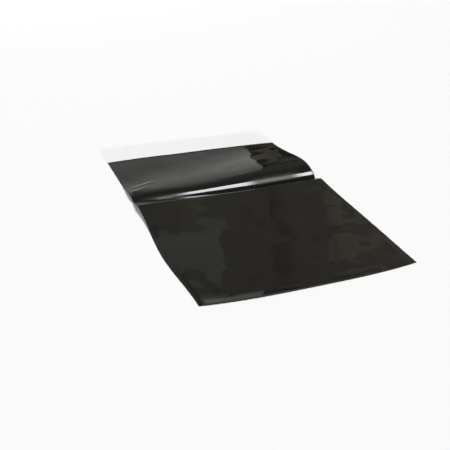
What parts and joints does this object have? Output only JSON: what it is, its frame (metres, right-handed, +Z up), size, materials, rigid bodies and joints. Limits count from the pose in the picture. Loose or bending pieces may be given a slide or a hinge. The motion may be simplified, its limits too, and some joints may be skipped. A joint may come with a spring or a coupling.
{
  "type": "poly mailer bag",
  "caption": "Flat black film mailing bag with side welds and a white peel-off liner over its adhesive flap, lying on its back with a crease across the middle.",
  "frame": {"origin": "on the table under the middle of the bag", "axes": "+Y along the bag from the bottom fold to the flap, +X across it, +Z up from the back ply to the front ply"},
  "size_m": [0.24, 0.4, 0.0111],
  "materials": {
    "black_film": "glossy black polyethylene film",
    "hot_melt": "smooth pale hot-melt adhesive",
    "white_liner": "smooth white siliconised paper"
  },
  "bodies": {
    "root": {"film_bag": "black_film", "adhesive_strip": "hot_melt", "release_liner": "white_liner"}
  },
  "joints": []
}
